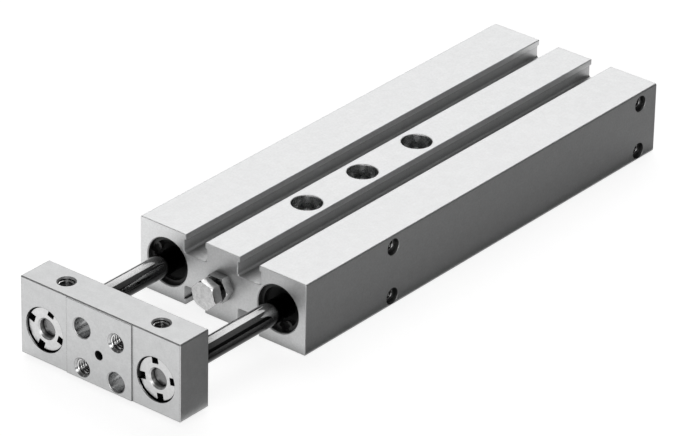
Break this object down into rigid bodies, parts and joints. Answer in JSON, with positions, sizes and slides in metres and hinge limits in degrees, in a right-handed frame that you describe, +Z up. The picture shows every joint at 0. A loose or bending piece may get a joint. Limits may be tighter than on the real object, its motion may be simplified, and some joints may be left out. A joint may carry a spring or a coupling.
{
  "type": "double piston cylinder",
  "caption": "Flat twin-rod pneumatic cylinder: slotted aluminium housing, two polished rods joined by a yoke plate, and an adjustable stop screw between them.",
  "frame": {"origin": "centre of the line of mounting holes in the centre rail, on the underside of the housing", "axes": "+X across the rods to the right seen from the yoke, +Y from the yoke to the rear end caps, +Z up"},
  "size_m": [0.054, 0.1895, 0.0224],
  "materials": {
    "housing_aluminium": "fine matt clear-anodised extrusion",
    "yoke_aluminium": "fine matt clear-anodised, milled",
    "ground_rod_steel": "ground and polished",
    "nickel_nut": "satin nickel",
    "zinc_steel": "bright zinc plating",
    "bearing_steel": "hardened, ground",
    "polished_balls": "polished",
    "blackened_spring_steel": "phosphated, oiled",
    "turned_aluminium": "turned",
    "black_rubber": "moulded",
    "seal_rubber": "moulded polyurethane",
    "buffer_rubber": "moulded elastomer",
    "cage_plastic": "moulded acetal",
    "guide_plastic": "filled plastic strip",
    "magnet_ferrite": "plastic-bonded ferrite"
  },
  "bodies": {
    "cylinder_housing": {"housing": "housing_aluminium", "front_circlip_left": "blackened_spring_steel", "front_circlip_right": "blackened_spring_steel", "wiper_left": "black_rubber", "wiper_right": "black_rubber", "end_cap_left": "turned_aluminium", "end_cap_right": "turned_aluminium", "rear_circlip_left": "blackened_spring_steel", "rear_circlip_right": "blackened_spring_steel", "bushing_sleeve_left": "bearing_steel", "bushing_sleeve_right": "bearing_steel", "ball_cage_left": "cage_plastic", "ball_cage_right": "cage_plastic", "guide_balls_left": "polished_balls", "guide_balls_right": "polished_balls", "bearing_cap_left": "turned_aluminium", "bearing_cap_right": "turned_aluminium", "bearing_cap_o_ring_left": "black_rubber", "bearing_cap_o_ring_right": "black_rubber", "rod_seal_left": "seal_rubber", "rod_seal_right": "seal_rubber", "end_cap_o_ring_left": "black_rubber", "end_cap_o_ring_right": "black_rubber"},
    "yoke_slide": {"yoke": "yoke_aluminium", "piston_rod_left": "ground_rod_steel", "piston_rod_right": "ground_rod_steel", "ring_nut_left": "nickel_nut", "ring_nut_right": "nickel_nut", "piston_front_left": "turned_aluminium", "piston_front_right": "turned_aluminium", "magnet_left": "magnet_ferrite", "magnet_right": "magnet_ferrite", "piston_rear_left": "turned_aluminium", "piston_rear_right": "turned_aluminium", "piston_seals_left": "seal_rubber", "piston_seals_right": "seal_rubber", "guide_ring_left": "guide_plastic", "guide_ring_right": "guide_plastic", "piston_nut_left": "zinc_steel", "piston_nut_right": "zinc_steel", "front_buffer_left": "buffer_rubber", "front_buffer_right": "buffer_rubber", "rear_buffer_left": "buffer_rubber", "rear_buffer_right": "buffer_rubber"},
    "stop_screw_body": {"stop_screw": "zinc_steel"},
    "lock_nut_body": {"lock_nut": "zinc_steel"}
  },
  "joints": [
    {"name": "yoke_stroke", "type": "slide", "parent": "cylinder_housing", "child": "yoke_slide", "axis": [0, -1, 0], "range_m": [-0.02755, 0.02245]},
    {"name": "stop_adjust", "type": "slide", "parent": "cylinder_housing", "child": "stop_screw_body", "axis": [0, 1, 0], "range_m": [0, 0.0015]},
    {"name": "lock_nut_turn", "type": "hinge", "parent": "cylinder_housing", "child": "lock_nut_body", "pos_m": [0, -0.0559, 0.01], "axis": [0, -1, 0], "continuous": true}
  ]
}
